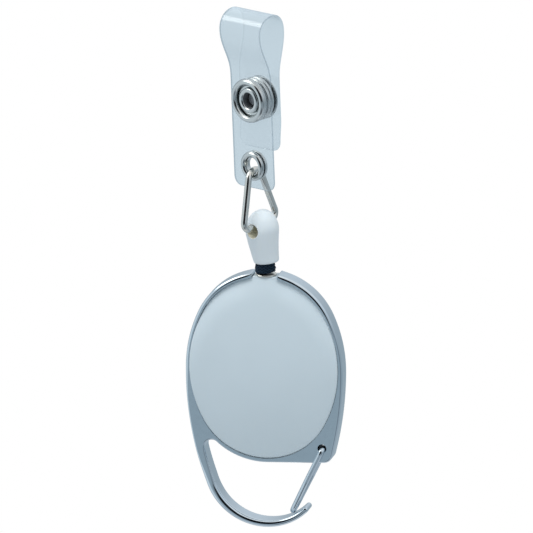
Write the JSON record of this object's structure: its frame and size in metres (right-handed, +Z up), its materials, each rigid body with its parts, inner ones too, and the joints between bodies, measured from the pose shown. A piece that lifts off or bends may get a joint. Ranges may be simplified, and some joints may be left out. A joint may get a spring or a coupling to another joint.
{
  "type": "retractable badge reel",
  "caption": "Retractable badge reel: oval spring reel in a carabiner frame, with a pull-out cord, a wire link and a clear snap strap",
  "frame": {"origin": "on the spool's axis, in the flat rear face of the rear cover", "axes": "+Z up from the reel to the strap, -Y out of the front cover, +X to the right seen from the front"},
  "size_m": [0.0374, 0.0142, 0.1239],
  "materials": {
    "carabiner_frame": "polished chrome plate on cast zinc",
    "gate_wire": "bright plated spring wire",
    "front_cover": "satin white moulded plastic",
    "rear_cover": "satin white moulded plastic",
    "exit_ring": "turned and nickel plated",
    "spool": "moulded acetal",
    "power_spring": "blued spring steel strip",
    "cord_windings": "braided nylon",
    "cord_run": "braided nylon",
    "cord_stop": "braided nylon, knotted",
    "cord_knot": "braided nylon, knotted",
    "cord_end_fitting": "satin white moulded plastic",
    "wire_link": "nickel-plated wire",
    "strap_eyelet": "nickel plated",
    "eyelet_washer": "nickel plated",
    "strap_front": "clear flexible vinyl",
    "strap_fold": "clear flexible vinyl",
    "strap_rear": "clear flexible vinyl",
    "snap_front_ring": "nickel plated",
    "snap_post": "nickel plated",
    "snap_socket": "nickel plated",
    "socket_spring": "spring wire",
    "snap_stud": "nickel plated",
    "snap_cap": "nickel plated"
  },
  "bodies": {
    "root": {"carabiner_frame": "carabiner_frame", "front_cover": "front_cover", "rear_cover": "rear_cover", "exit_ring": "exit_ring", "power_spring": "power_spring", "cord_run": "cord_run"},
    "gate": {"gate_wire": "gate_wire"},
    "spool": {"spool": "spool", "cord_windings": "cord_windings"},
    "cord": {"cord_stop": "cord_stop", "cord_knot": "cord_knot"},
    "cord_end": {"cord_end_fitting": "cord_end_fitting"},
    "link": {"wire_link": "wire_link"},
    "strap": {"strap_eyelet": "strap_eyelet", "eyelet_washer": "eyelet_washer", "strap_front": "strap_front", "strap_fold": "strap_fold", "snap_front_ring": "snap_front_ring", "snap_post": "snap_post", "snap_socket": "snap_socket", "socket_spring": "socket_spring"},
    "flap": {"strap_rear": "strap_rear", "snap_stud": "snap_stud", "snap_cap": "snap_cap"}
  },
  "joints": [
    {"name": "gate_open", "type": "hinge", "parent": "root", "child": "gate", "pos_m": [0.0141, -0.0037, -0.01885], "axis": [0, 1, 0], "range_deg": [0, 35], "stiffness_Nm_per_rad": 0.03, "springref_deg": -17.19},
    {"name": "cord_pull", "type": "slide", "parent": "root", "child": "cord", "axis": [0, 0, 1], "range_m": [0, 0.6], "stiffness_N_per_m": 1, "springref_m": -0.5, "deforming": ["cord_run"]},
    {"name": "spool_spin", "type": "hinge", "parent": "root", "child": "spool", "pos_m": [0, -0.0037, 0], "axis": [0, -1, 0], "range_deg": [0, 3760], "deforming": ["power_spring"]},
    {"name": "end_swivel", "type": "hinge", "parent": "cord", "child": "cord_end", "pos_m": [0, -0.0037, 0.0223], "axis": [-0.1132, 0, 0.9936], "continuous": true},
    {"name": "link_swing", "type": "hinge", "parent": "cord_end", "child": "link", "pos_m": [-0.00133, -0.0037, 0.03397], "axis": [-0.3722, -0.9272, -0.0424], "range_deg": [-60, 60]},
    {"name": "strap_swing", "type": "hinge", "parent": "link", "child": "strap", "pos_m": [-0.00281, -0.0037, 0.04804], "axis": [-0.5147, -0.8572, -0.0198], "range_deg": [-25, 25]},
    {"name": "strap_open", "type": "hinge", "parent": "strap", "child": "flap", "pos_m": [-0.00332, -0.00248, 0.08034], "axis": [0.8565, -0.515, 0.0329], "range_deg": [0, 45], "stiffness_Nm_per_rad": 0.002}
  ],
  "couplings": [
    {"joint": "spool_spin", "follows": "cord_pull", "rad_per_m": 107.76}
  ]
}
